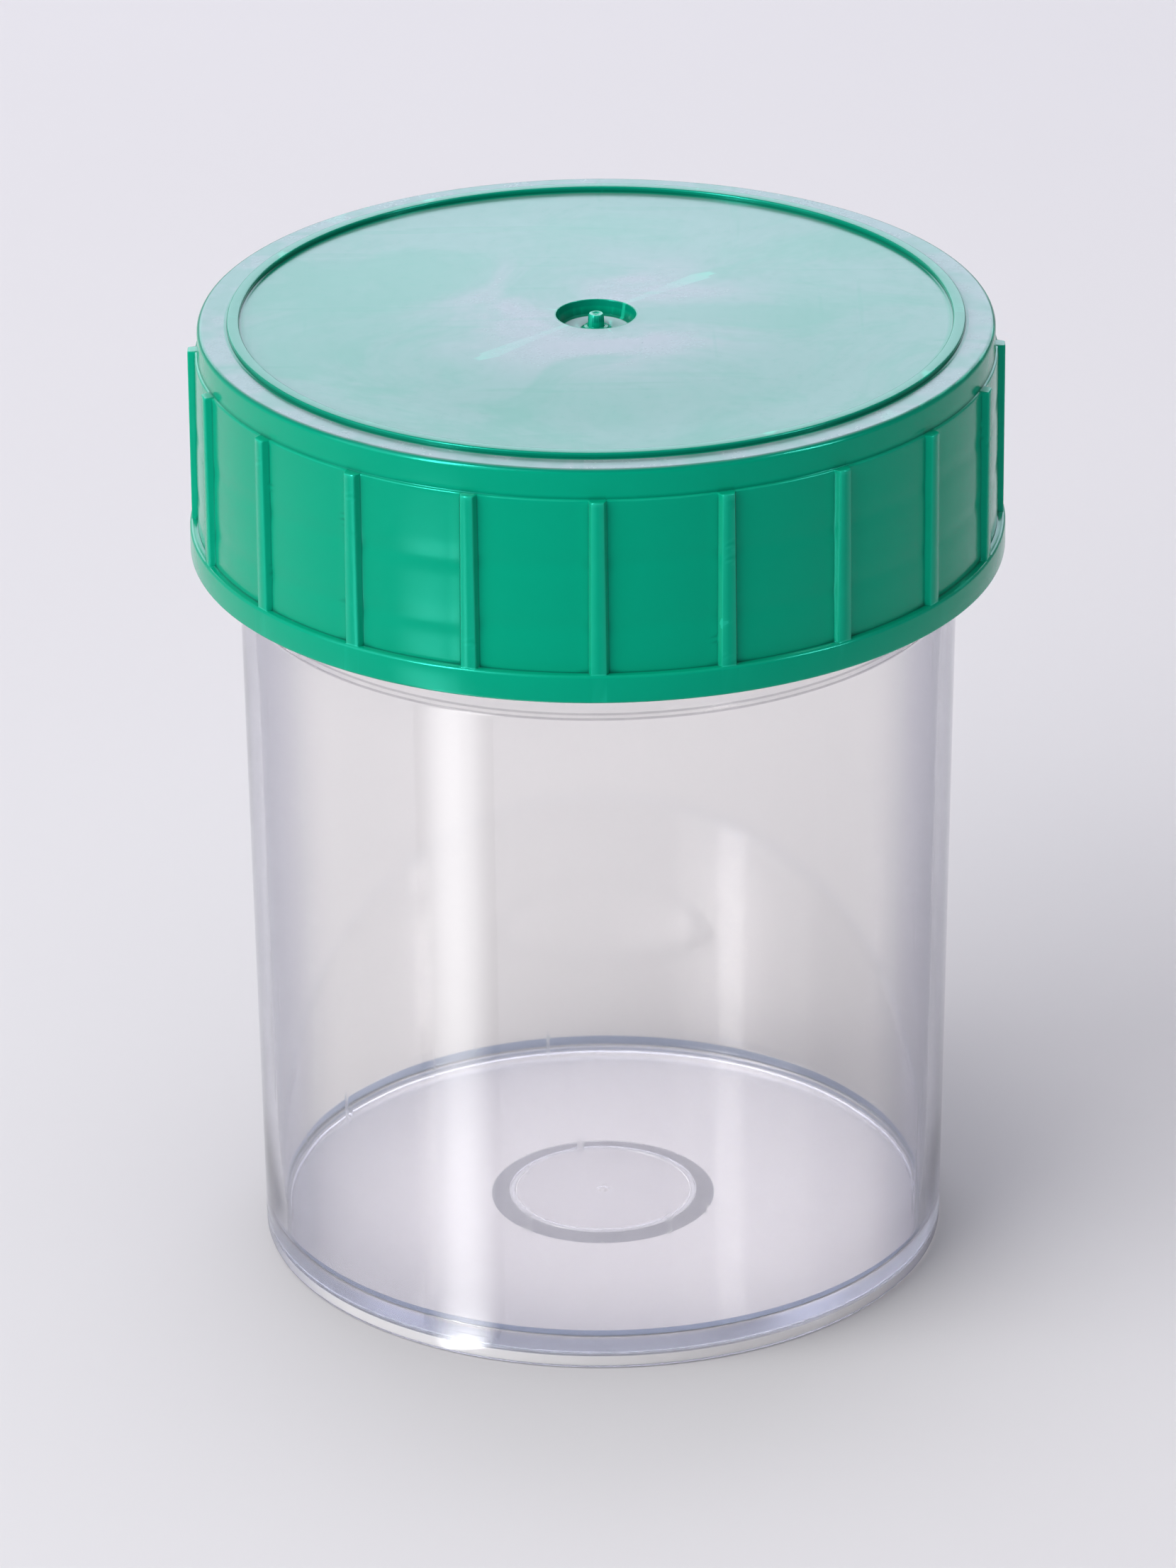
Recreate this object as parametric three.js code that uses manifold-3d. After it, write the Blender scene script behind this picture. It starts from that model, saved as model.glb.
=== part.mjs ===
// Specimen beaker with a screw cap: a clear tapered beaker, a flat seal liner and a ribbed cap.
// Millimetres, +Z up. The foot stands on z = 0 and every piece is centred on the Z axis.

import * as THREE from 'three';
import { mergeVertices } from 'three/addons/utils/BufferGeometryUtils.js';
import Module from 'manifold-3d';

const wasm = await Module();
wasm.setup();

// Steps around a full circle: three on each panel between two grip ribs.
const RIB_COUNT = 20;
const TURN_STEPS = 3 * RIB_COUNT;
// Straight pieces on a rounded edge.
const EDGE_STEPS = 3;

// Beaker.
const FOOT_RADIUS = 26.1;
const NECK_RADIUS = 27.0;
const NECK_BASE_HEIGHT = 56.5;
const RIM_HEIGHT = 71.85;
const WALL = 1.15;
const RIM_EDGE = 0.4;
const FOOT_EDGE = 0.4;
const FOOT_WIDTH = 1.3;
const FLOOR_UNDERSIDE = 0.95;
const FLOOR_TOP = 2.25;
const FLOOR_FILLET = 0.8;
const PUSH_UP_RADIUS = 8.6;
const PUSH_UP_FLAT_RADIUS = 7.2;
const PUSH_UP_DEPTH = 0.65;

// Cap.
const CAP_BOTTOM = 56.6;
const CAP_TOP = 74.4;
const CAP_PLATE_UNDERSIDE = 72.8;
const CAP_BORE_RADIUS = 28.7;
const BAND_RADIUS = 29.65;
const BAND_BOTTOM = 72.3;
const BAND_EDGE = 0.4;
const LEDGE_DROP = 0.1;
const PANEL_TOP_RADIUS = 29.85;
const PANEL_BOTTOM_RADIUS = 29.95;
const FLANGE_RADIUS = 30.55;
const FLANGE_TOP = 58.8;
const FLANGE_EDGE = 0.25;
const RIB_TIP_RADIUS = 30.4;
const RIB_TOP = 72.15;
const RIB_TOP_WIDTH = 1.1;
const RIB_BOTTOM_WIDTH = 1.3;
const STACKING_RING_OUTER = 27.42;
const STACKING_RING_INNER = 26.5;
const STACKING_RING_HEIGHT = 0.4;
const CROWN_RADIUS = 23.0;
const CROWN_HEIGHT = 0.32;
// Share of the crown's height that is reached half-way in from its edge.
const CROWN_SHARE_HALF_WAY = 0.75;
const GATE_RECESS_RADIUS = 2.97;
const GATE_RECESS_FLOOR_RADIUS = 2.75;
const GATE_RECESS_DEPTH = 1.15;
const GATE_NUB_RADIUS = 0.62;
const GATE_NUB_HEIGHT = 1.2;
const LINER_BEAD = 0.3;
const LINER_BEAD_HEIGHT = 71.7;

// Seal liner, held between the bead and the plate of the cap.
const LINER_RADIUS = 28.5;
const LINER_THICKNESS = 0.75;
const LINER_CLEARANCE = 0.1;

// Single-start right-hand screw thread, one ridge on the neck and one in the cap.
const THREAD_PITCH = 4.9;
const THREAD_FOOT_WIDTH = 2.3;
const THREAD_CREST_WIDTH = 0.8;
const THREAD_HEIGHT = 1.1;
const THREAD_EMBED = 0.4;
const THREAD_RUNOUT = 0.1;
// The cap's ridge passes through this height above the -Y side of the beaker.
const CAP_THREAD_LEVEL = 62.3;
const CAP_THREAD_START = -0.35;
const CAP_THREAD_TURNS = 1.75;
// The neck's ridge lies above the cap's, flank on flank with a small clearance.
const NECK_THREAD_RISE = 1.3;
const NECK_THREAD_START = -0.45;
const NECK_THREAD_TURNS = 1.85;

const CLEAR_PLASTIC = { color: 0xdfe4ee, roughness: 0.12, metalness: 0 };
const LINER_WHITE = { color: 0xf0f0ec, roughness: 0.6, metalness: 0 };
const CAP_GREEN = { color: 0x009b74, roughness: 0.35, metalness: 0 };

function point(radius, height) {
  return new THREE.Vector2(radius, height);
}

// A quarter-round run of profile points about a centre, from one angle to another in degrees.
function roundEdge(radius, height, edge, fromDegrees, toDegrees) {
  const points = [];
  for (let step = 0; step <= EDGE_STEPS; step += 1) {
    const angle = THREE.MathUtils.degToRad(
      THREE.MathUtils.lerp(fromDegrees, toDegrees, step / EDGE_STEPS),
    );
    points.push(point(radius + edge * Math.cos(angle), height + edge * Math.sin(angle)));
  }
  return points;
}

// Turns a profile, drawn anticlockwise as radius and height, about the Z axis.
function turned(profile) {
  const geometry = new THREE.LatheGeometry(profile, TURN_STEPS);
  geometry.rotateX(Math.PI / 2);
  return geometry;
}

function toSolid(geometry) {
  const bare = geometry.clone();
  bare.deleteAttribute('normal');
  bare.deleteAttribute('uv');
  const merged = mergeVertices(bare);
  const corners = merged.index.array;
  const triangles = [];
  for (let i = 0; i < corners.length; i += 3) {
    const [a, b, c] = [corners[i], corners[i + 1], corners[i + 2]];
    const collapsed = a === b || b === c || c === a;
    if (!collapsed) {
      triangles.push(a, b, c);
    }
  }
  const mesh = new wasm.Mesh({
    numProp: 3,
    vertProperties: new Float32Array(merged.attributes.position.array),
    triVerts: new Uint32Array(triangles),
  });
  return new wasm.Manifold(mesh);
}

function toGeometry(solid) {
  const { vertProperties, triVerts } = solid.getMesh();
  const geometry = new THREE.BufferGeometry();
  geometry.setAttribute('position', new THREE.BufferAttribute(vertProperties, 3));
  geometry.setIndex(new THREE.BufferAttribute(triVerts, 1));
  geometry.computeVertexNormals();
  return geometry;
}

// A thread ridge: a straight bar of trapezoid section, wound about the Z axis into a helix.
// side is 1 for a ridge that stands out from a neck and -1 for one that stands in from a bore.
// The foot of the section lies inside the wall, and the crest sinks into the wall at both ends.
function threadRidge(rootRadius, side, level, startTurn, turns) {
  const section = new THREE.Shape([
    point(-THREAD_FOOT_WIDTH / 2, 0),
    point(THREAD_FOOT_WIDTH / 2, 0),
    point(THREAD_CREST_WIDTH / 2, 1),
    point(-THREAD_CREST_WIDTH / 2, 1),
  ]);
  const bar = new THREE.ExtrudeGeometry(section, {
    depth: turns,
    steps: Math.round(turns * TURN_STEPS),
    bevelEnabled: false,
  });
  const vertices = bar.attributes.position;
  for (let i = 0; i < vertices.count; i += 1) {
    const travelled = vertices.getZ(i);
    const turn = startTurn + travelled;
    const runout = Math.min(1, travelled / THREAD_RUNOUT, (turns - travelled) / THREAD_RUNOUT);
    const crest = THREE.MathUtils.lerp(-THREAD_EMBED / 2, THREAD_HEIGHT, runout);
    const radius = rootRadius + side * THREE.MathUtils.lerp(-THREAD_EMBED, crest, vertices.getY(i));
    const angle = 2 * Math.PI * turn - Math.PI / 2;
    const height = level + THREAD_PITCH * turn + side * vertices.getX(i);
    vertices.setXYZ(i, radius * Math.cos(angle), radius * Math.sin(angle), height);
  }
  return bar;
}

function wallRadius(height) {
  const rise = Math.min(height / NECK_BASE_HEIGHT, 1);
  return THREE.MathUtils.lerp(FOOT_RADIUS, NECK_RADIUS, rise);
}

function beakerBody() {
  const footInner = FOOT_RADIUS - FOOT_WIDTH;
  const filletCentre = wallRadius(FLOOR_TOP + FLOOR_FILLET) - WALL - FLOOR_FILLET;
  return turned([
    point(0, FLOOR_UNDERSIDE + PUSH_UP_DEPTH),
    point(PUSH_UP_FLAT_RADIUS, FLOOR_UNDERSIDE + PUSH_UP_DEPTH),
    point(PUSH_UP_RADIUS, FLOOR_UNDERSIDE),
    point(footInner, FLOOR_UNDERSIDE),
    point(footInner + FOOT_EDGE, 0),
    ...roundEdge(FOOT_RADIUS - FOOT_EDGE, FOOT_EDGE, FOOT_EDGE, -90, 0),
    point(NECK_RADIUS, NECK_BASE_HEIGHT),
    ...roundEdge(NECK_RADIUS - RIM_EDGE, RIM_HEIGHT - RIM_EDGE, RIM_EDGE, 0, 90),
    ...roundEdge(NECK_RADIUS - WALL + RIM_EDGE, RIM_HEIGHT - RIM_EDGE, RIM_EDGE, 90, 180),
    point(NECK_RADIUS - WALL, NECK_BASE_HEIGHT),
    ...roundEdge(filletCentre, FLOOR_TOP + FLOOR_FILLET, FLOOR_FILLET, 0, -90),
    point(0, FLOOR_TOP),
  ]);
}

function beaker() {
  const level = CAP_THREAD_LEVEL + NECK_THREAD_RISE;
  const thread = threadRidge(NECK_RADIUS, 1, level, NECK_THREAD_START, NECK_THREAD_TURNS);
  return toGeometry(toSolid(beakerBody()).add(toSolid(thread)));
}

function sealLiner() {
  const top = CAP_PLATE_UNDERSIDE - LINER_CLEARANCE;
  const bottom = top - LINER_THICKNESS;
  return turned([
    point(0, bottom),
    point(LINER_RADIUS, bottom),
    point(LINER_RADIUS, top),
    point(0, top),
  ]);
}

// Outside of the cap from the flange up to the stacking ring.
function capOutside() {
  return [
    ...roundEdge(FLANGE_RADIUS - FLANGE_EDGE, CAP_BOTTOM + FLANGE_EDGE, FLANGE_EDGE, -90, 0),
    ...roundEdge(FLANGE_RADIUS - FLANGE_EDGE, FLANGE_TOP - FLANGE_EDGE, FLANGE_EDGE, 0, 90),
    point(PANEL_BOTTOM_RADIUS, FLANGE_TOP),
    point(PANEL_TOP_RADIUS, BAND_BOTTOM - LEDGE_DROP),
    point(BAND_RADIUS, BAND_BOTTOM),
    ...roundEdge(BAND_RADIUS - BAND_EDGE, CAP_TOP - BAND_EDGE, BAND_EDGE, 0, 90),
  ];
}

function stackingRing() {
  const edge = STACKING_RING_HEIGHT / 2;
  const top = CAP_TOP + STACKING_RING_HEIGHT;
  return [
    point(STACKING_RING_OUTER, CAP_TOP),
    point(STACKING_RING_OUTER - edge / 2, top - edge / 2),
    point(STACKING_RING_OUTER - edge, top),
    point(STACKING_RING_INNER + edge, top),
    point(STACKING_RING_INNER + edge / 2, top - edge / 2),
    point(STACKING_RING_INNER, CAP_TOP),
  ];
}

// The slightly crowned centre of the top, its moulding-gate recess and the stub left in it.
function capCentre() {
  const crownTop = CAP_TOP + CROWN_HEIGHT;
  const recessFloor = crownTop - GATE_RECESS_DEPTH;
  return [
    point(CROWN_RADIUS, CAP_TOP),
    point(CROWN_RADIUS / 2, CAP_TOP + CROWN_HEIGHT * CROWN_SHARE_HALF_WAY),
    point(GATE_RECESS_RADIUS, crownTop),
    point(GATE_RECESS_FLOOR_RADIUS, recessFloor),
    point(GATE_NUB_RADIUS, recessFloor),
    point(GATE_NUB_RADIUS, recessFloor + GATE_NUB_HEIGHT),
    point(0, recessFloor + GATE_NUB_HEIGHT),
  ];
}

function capShell() {
  return turned([
    point(0, CAP_PLATE_UNDERSIDE),
    point(CAP_BORE_RADIUS, CAP_PLATE_UNDERSIDE),
    point(CAP_BORE_RADIUS, LINER_BEAD_HEIGHT + LINER_BEAD / 2),
    point(CAP_BORE_RADIUS - LINER_BEAD, LINER_BEAD_HEIGHT),
    point(CAP_BORE_RADIUS, LINER_BEAD_HEIGHT - LINER_BEAD),
    point(CAP_BORE_RADIUS, CAP_BOTTOM + FLANGE_EDGE),
    point(CAP_BORE_RADIUS + FLANGE_EDGE, CAP_BOTTOM),
    ...capOutside(),
    ...stackingRing(),
    ...capCentre(),
  ]);
}

// A grip rib, from inside the skirt's wall to its tip, widening towards the flange.
function gripRib(index) {
  const foot = (CAP_BOTTOM + FLANGE_TOP) / 2;
  const innerRadius = (CAP_BORE_RADIUS + PANEL_TOP_RADIUS) / 2;
  const face = new THREE.Shape([
    point(-RIB_BOTTOM_WIDTH / 2, foot),
    point(RIB_BOTTOM_WIDTH / 2, foot),
    point(RIB_TOP_WIDTH / 2, RIB_TOP),
    point(-RIB_TOP_WIDTH / 2, RIB_TOP),
  ]);
  const rib = new THREE.ExtrudeGeometry(face, {
    depth: RIB_TIP_RADIUS - innerRadius,
    bevelEnabled: false,
  });
  rib.translate(0, 0, innerRadius);
  rib.rotateX(Math.PI / 2);
  rib.rotateZ((2 * Math.PI * index) / RIB_COUNT);
  return rib;
}

function screwCap() {
  let cap = toSolid(capShell());
  for (let index = 0; index < RIB_COUNT; index += 1) {
    cap = cap.add(toSolid(gripRib(index)));
  }
  const thread = threadRidge(
    CAP_BORE_RADIUS, -1, CAP_THREAD_LEVEL, CAP_THREAD_START, CAP_THREAD_TURNS,
  );
  return toGeometry(cap.add(toSolid(thread)));
}

function piece(name, geometry, look) {
  const mesh = new THREE.Mesh(geometry, new THREE.MeshStandardMaterial(look));
  mesh.name = name;
  return mesh;
}

const bottle = new THREE.Group();
bottle.add(piece('beaker', beaker(), CLEAR_PLASTIC));
bottle.add(piece('seal_liner', sealLiner(), LINER_WHITE));
bottle.add(piece('screw_cap', screwCap(), CAP_GREEN));

export default bottle;
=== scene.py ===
"""Screw-capped specimen beaker: fine surfaces, materials, floor, light and camera."""

import math

import bpy
import numpy as np
from mathutils import Matrix, Vector


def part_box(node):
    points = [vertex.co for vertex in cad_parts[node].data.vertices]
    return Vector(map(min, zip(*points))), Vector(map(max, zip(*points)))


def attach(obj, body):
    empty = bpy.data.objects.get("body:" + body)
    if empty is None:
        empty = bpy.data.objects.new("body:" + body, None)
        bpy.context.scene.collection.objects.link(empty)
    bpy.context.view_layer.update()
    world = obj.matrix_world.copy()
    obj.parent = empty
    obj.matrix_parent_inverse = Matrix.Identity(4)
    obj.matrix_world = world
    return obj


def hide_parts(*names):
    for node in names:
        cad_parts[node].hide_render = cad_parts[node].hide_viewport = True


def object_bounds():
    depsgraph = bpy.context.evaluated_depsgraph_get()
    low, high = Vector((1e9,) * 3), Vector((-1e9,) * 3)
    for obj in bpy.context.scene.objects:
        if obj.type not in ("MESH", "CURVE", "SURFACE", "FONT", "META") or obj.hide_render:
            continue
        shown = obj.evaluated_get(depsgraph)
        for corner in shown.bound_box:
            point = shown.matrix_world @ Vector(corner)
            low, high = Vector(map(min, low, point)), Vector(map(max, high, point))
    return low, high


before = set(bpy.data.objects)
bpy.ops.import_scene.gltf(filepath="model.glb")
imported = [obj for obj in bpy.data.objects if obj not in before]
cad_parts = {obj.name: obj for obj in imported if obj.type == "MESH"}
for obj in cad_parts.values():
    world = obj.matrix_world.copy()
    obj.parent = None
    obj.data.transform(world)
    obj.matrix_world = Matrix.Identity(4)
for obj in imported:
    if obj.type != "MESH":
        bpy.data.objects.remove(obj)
cad_low, cad_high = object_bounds()

# Metres in a millimetre.
MM = 0.001

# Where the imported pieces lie, in millimetres.
beaker_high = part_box("beaker")[1] / MM
cap_low, cap_high = (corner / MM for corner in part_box("screw_cap"))
liner_low, liner_high = (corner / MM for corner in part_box("seal_liner"))

# Steps around a full circle on the plain turned surfaces, and the least angle of a sharp edge.
TURN_STEPS = 360
SHARP_ANGLE = 40

# Beaker, millimetres.
FOOT_RADIUS = 26.1
NECK_RADIUS = 27.0
NECK_BASE_HEIGHT = 56.5
RIM_HEIGHT = beaker_high.z
WALL = 1.15
RIM_EDGE = 0.4
FOOT_EDGE = 0.4
FOOT_WIDTH = 1.3
FOOT_INNER_LEAN = 0.3
FOOT_INNER_EDGE = 0.2
WALL_START_HEIGHT = 0.6
FLOOR_UNDERSIDE = 0.95
FLOOR_TOP = 2.25
FLOOR_FILLET = 0.35
PUSH_UP_RADIUS = 8.6
PUSH_UP_RING_OUTER = 7.25
PUSH_UP_RING_INNER = 6.75
PUSH_UP_RING_DEPTH = 0.1
PUSH_UP_DEPTH = 0.65
PUSH_UP_MARK_RADIUS = 0.35
PUSH_UP_MARK_DEPTH = 0.12
MOULD_LINE_HEIGHT = 53.8
MOULD_LINE_RELIEF = 0.05

# Cap, millimetres.
CAP_BOTTOM = cap_low.z
RING_TOP = cap_high.z
FLANGE_RADIUS = cap_high.x
RING_HEIGHT = 0.4
CAP_TOP = RING_TOP - RING_HEIGHT
PLATE_UNDERSIDE = liner_high.z + 0.1
BORE_RADIUS = liner_high.x + 0.2
FLANGE_TOP = CAP_BOTTOM + 2.2
FLANGE_EDGE = 0.25
BAND_RADIUS = 29.65
BAND_BOTTOM = CAP_TOP - 2.1
BAND_EDGE = 0.4
PANEL_TOP_RADIUS = 29.85
PANEL_BOTTOM_RADIUS = 29.95
RIB_COUNT = 20
RIB_TIP_RADIUS = 30.4
RIB_TOP = BAND_BOTTOM - 0.15
RIB_TOP_WIDTH = 1.1
RIB_BOTTOM_WIDTH = 1.3
RIB_ROUNDING = 0.3
RING_OUTER = 27.42
RING_INNER = 26.5
RING_EDGE = 0.14
CROWN_RADIUS = 23.0
CROWN_HEIGHT = 0.32
GATE_RECESS_RADIUS = 2.97
GATE_RECESS_FLOOR_RADIUS = 2.75
GATE_RECESS_DEPTH = 1.15
GATE_LIP = 0.08
NUB_RADIUS = 0.62
NUB_BASE_RADIUS = 0.95
NUB_BASE_HEIGHT = 0.25
BORE_CORNER = 0.15
LINER_BEAD = 0.3
LINER_BEAD_HEIGHT = PLATE_UNDERSIDE - 1.1
LINER_EDGE = 0.2

# Screw thread, and the marks where the cap's outside has sunk over it: millimetres and turns.
# A turn of 0 is on the -Y side. The rows are the steps in height on the surfaces that carry them.
THREAD_PITCH = 4.9
THREAD_ROOT_WIDTH = 1.9
THREAD_CREST_WIDTH = 0.8
THREAD_HEIGHT = 1.1
THREAD_RUNOUT = 0.1
THREAD_ROW = 0.15
CAP_THREAD = {"level": 62.3, "start": -0.35, "turns": 1.75}
NECK_THREAD = {"level": 63.6, "start": -0.45, "turns": 1.85}
SINK_DEPTH = 0.05
SINK_WIDTH = 0.75
SINK_ROW = 0.22

# The camera's focal length on its 36 mm sensor, millimetres.
LENS_LENGTH = 198.277

# How far the floor lies below the foot, to keep the two faces apart.
FLOOR_GAP = 0.03

# Where the glints on the round walls come from, in degrees from +X towards +Y.
LEFT_GLINT_AZIMUTH = 222
RIGHT_GLINT_AZIMUTH = 338

# The card on the floor that the streak on the wall mirrors: millimetres, degrees and brightness.
STREAK_AZIMUTH = 246.5
CARD_LENGTH = 165
CARD_HEIGHT = 0.3
CARD_HALF_WIDTH = 3.4
CARD_WIDENING = 0.24
CARD_BRIGHTNESS = 6
CARD_FLARE_LENGTH = 2
CARD_FLARE_BRIGHTNESS = 36


# ---------------------------------------------------------------- shapes


def arc(radius, height, edge, start, end, steps=8):
    """Profile points on a round edge about a centre, between two angles in degrees."""
    angles = np.radians(np.linspace(start, end, steps + 1))
    return [(radius + edge * math.cos(a), height + edge * math.sin(a)) for a in angles]


def line(start, end, step):
    """Profile points from start up to, but not including, end, no further apart than step."""
    count = max(1, math.ceil(math.dist(start, end) / step))
    return [tuple(np.array(start) + (np.array(end) - start) * i / count) for i in range(count)]


def even_turn(rows):
    """The angle of every vertex of a plain turned surface, as rows by columns."""
    return np.tile(np.arange(TURN_STEPS) * 2 * math.pi / TURN_STEPS, (rows, 1))


def spread(profile, columns):
    """The radius and the height of every vertex of a turned surface, as rows by columns."""
    radius, height = np.array(profile).T[:, :, None]
    return np.tile(radius, columns), np.tile(height, columns)


def turned_mesh(name, radius, height, angle):
    """A closed mesh of rows by columns in millimetres. Its first and last rows lie on the axis."""
    rows, columns = angle.shape
    x = radius * np.cos(angle)
    y = radius * np.sin(angle)
    grid = np.stack([x, y, height], axis=-1)
    ends = [grid[0].mean(axis=0), grid[-1].mean(axis=0)]
    vertices = np.vstack([grid[1:-1].reshape(-1, 3), ends]) * MM
    after = np.roll(np.arange(columns), -1)
    faces = []
    for row in range(rows - 3):
        low = row * columns
        high = low + columns
        faces += [(low + a, low + b, high + b, high + a) for a, b in enumerate(after)]
    first_pole = (rows - 2) * columns
    last_row = (rows - 3) * columns
    faces += [(first_pole, b, a) for a, b in enumerate(after)]
    faces += [(first_pole + 1, last_row + a, last_row + b) for a, b in enumerate(after)]
    mesh = bpy.data.meshes.new(name)
    mesh.from_pydata(vertices.tolist(), [], faces)
    mesh.shade_smooth()
    mesh.set_sharp_from_angle(angle=math.radians(SHARP_ANGLE))
    piece = bpy.data.objects.new(name, mesh)
    bpy.context.scene.collection.objects.link(piece)
    return piece


def smooth(value):
    """An S-shaped ramp that leaves 0 and reaches 1 without a corner."""
    value = np.clip(value, 0, 1)
    return value * value * (3 - 2 * value)


def turns_at(angle):
    """Every turn count from -1 up to 3 at which a thread passes an angle."""
    turn = (angle + math.pi / 2) / (2 * math.pi)
    turn = turn - np.floor(turn)
    return [turn + whole for whole in range(-1, 3)]


def present(turn, thread):
    """1 along a thread, falling to 0 over its run-out at both ends."""
    begun = (turn - thread["start"]) / THREAD_RUNOUT
    left = (thread["start"] + thread["turns"] - turn) / THREAD_RUNOUT
    return smooth(np.minimum(begun, left))


def thread_relief(angle, height, thread):
    """How far a thread's ridge stands out from its wall, in millimetres."""
    relief = np.zeros_like(angle)
    slope = (THREAD_ROOT_WIDTH - THREAD_CREST_WIDTH) / 2
    for turn in turns_at(angle):
        off_centre = np.abs(height - thread["level"] - THREAD_PITCH * turn)
        flank = (THREAD_ROOT_WIDTH / 2 - off_centre) / slope
        ridge = smooth(flank) * present(turn, thread)
        relief = np.maximum(relief, THREAD_HEIGHT * ridge)
    return relief


def sink_relief(angle, height):
    """How far the outside of the cap has shrunk in over its thread, in millimetres."""
    relief = np.zeros_like(angle)
    for turn in turns_at(angle):
        off_centre = (height - CAP_THREAD["level"] - THREAD_PITCH * turn) / SINK_WIDTH
        relief += SINK_DEPTH * np.exp(-(off_centre**2)) * present(turn, CAP_THREAD)
    return relief


def wall_radius(height):
    """Outer radius of the beaker's tapered wall."""
    rise = min(height / NECK_BASE_HEIGHT, 1)
    return FOOT_RADIUS + (NECK_RADIUS - FOOT_RADIUS) * rise


def push_up_profile():
    """Underside of the floor, from the middle of the push-up out to the foot ring."""
    under = FLOOR_UNDERSIDE
    top = under + PUSH_UP_DEPTH
    mark = top + PUSH_UP_MARK_DEPTH
    groove = top + PUSH_UP_RING_DEPTH
    foot_inner = FOOT_RADIUS - FOOT_WIDTH
    return [
        (0, mark),
        (PUSH_UP_MARK_RADIUS, mark),
        (PUSH_UP_MARK_RADIUS + 0.15, top),
        (PUSH_UP_MARK_RADIUS + 0.35, top + 0.02),
        (3.5, top),
        (PUSH_UP_RING_INNER - 0.04, top),
        (PUSH_UP_RING_INNER, groove - 0.04),
        (PUSH_UP_RING_INNER + 0.05, groove),
        (PUSH_UP_RING_OUTER - 0.05, groove),
        (PUSH_UP_RING_OUTER, groove - 0.04),
        (PUSH_UP_RING_OUTER + 0.05, top - 0.02),
        (PUSH_UP_RADIUS - 0.06, under + 0.03),
        (PUSH_UP_RADIUS, under + 0.01),
        (PUSH_UP_RADIUS + 0.06, under),
        (PUSH_UP_RADIUS + 0.2, under),
        (16, under),
        (foot_inner - 0.5, under),
        (foot_inner - 0.35, under),
        (foot_inner - 0.12, under - 0.03),
        (foot_inner, under - 0.15),
    ]


def foot_profile():
    """The foot ring, from its inner edge round under to the wall."""
    inner = FOOT_RADIUS - FOOT_WIDTH + FOOT_INNER_LEAN + FOOT_INNER_EDGE
    return [
        *arc(inner, FOOT_INNER_EDGE, FOOT_INNER_EDGE, 190, 270, 5),
        *arc(FOOT_RADIUS - FOOT_EDGE, FOOT_EDGE, FOOT_EDGE, -90, 0, 10),
    ]


def outer_wall_profile():
    """The wall, its mould line, and the neck with rows close enough to carry the thread."""
    wall_start = (wall_radius(WALL_START_HEIGHT), WALL_START_HEIGHT)
    wall_end_height = MOULD_LINE_HEIGHT - 0.3
    wall_end = (wall_radius(wall_end_height), wall_end_height)
    ridge = [(-0.14, 0), (-0.06, 0.7), (0, 1), (0.06, 0.7), (0.14, 0)]
    line_radius = wall_radius(MOULD_LINE_HEIGHT)
    mould_line = [
        (line_radius + MOULD_LINE_RELIEF * relief, MOULD_LINE_HEIGHT + rise)
        for rise, relief in ridge
    ]
    thread_start = (NECK_RADIUS, NECK_BASE_HEIGHT)
    rim_start = (NECK_RADIUS, RIM_HEIGHT - RIM_EDGE)
    return [
        *line(wall_start, wall_end, 6),
        wall_end,
        *mould_line,
        *line(thread_start, rim_start, THREAD_ROW),
    ]


def inner_wall_profile():
    """The rim, the inside of the wall and the fillet down to the floor."""
    fillet_height = FLOOR_TOP + FLOOR_FILLET
    floor_radius = wall_radius(fillet_height) - WALL
    inner_neck = NECK_RADIUS - WALL
    return [
        *arc(NECK_RADIUS - RIM_EDGE, RIM_HEIGHT - RIM_EDGE, RIM_EDGE, 0, 90),
        *arc(inner_neck + RIM_EDGE, RIM_HEIGHT - RIM_EDGE, RIM_EDGE, 90, 180),
        (inner_neck, NECK_BASE_HEIGHT + 8),
        *line((inner_neck, NECK_BASE_HEIGHT), (floor_radius, fillet_height), 8),
        *arc(floor_radius - FLOOR_FILLET, fillet_height, FLOOR_FILLET, 0, -90, 10),
        *((radius, FLOOR_TOP) for radius in (18, 9, 2, 0)),
    ]


def make_beaker():
    """The beaker in one piece, with the ridge of the thread raised on its neck."""
    profile = [*push_up_profile(), *foot_profile(), *outer_wall_profile(), *inner_wall_profile()]
    radius, height = spread(profile, TURN_STEPS)
    angle = even_turn(len(profile))
    on_neck = (radius > NECK_RADIUS - 0.01) & (height > NECK_BASE_HEIGHT)
    radius = radius + np.where(on_neck, thread_relief(angle, height, NECK_THREAD), 0)
    piece = turned_mesh("beaker_body", radius, height, angle)
    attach(piece, "container")
    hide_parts("beaker")
    return piece


def bore_profile():
    """Inside of the cap: the plate's underside, the liner bead and the threaded bore."""
    bead = LINER_BEAD_HEIGHT
    return [
        *((radius, PLATE_UNDERSIDE) for radius in (0, 9, 18)),
        *arc(BORE_RADIUS - BORE_CORNER, PLATE_UNDERSIDE - BORE_CORNER, BORE_CORNER, 90, 0, 4),
        (BORE_RADIUS, bead + LINER_BEAD / 2),
        *arc(BORE_RADIUS, bead, LINER_BEAD, 150, 210, 6),
        *line(
            (BORE_RADIUS, bead - LINER_BEAD), (BORE_RADIUS, CAP_BOTTOM + FLANGE_EDGE), THREAD_ROW
        ),
        *arc(BORE_RADIUS + FLANGE_EDGE, CAP_BOTTOM + FLANGE_EDGE, FLANGE_EDGE, 180, 270, 4),
    ]


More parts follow.
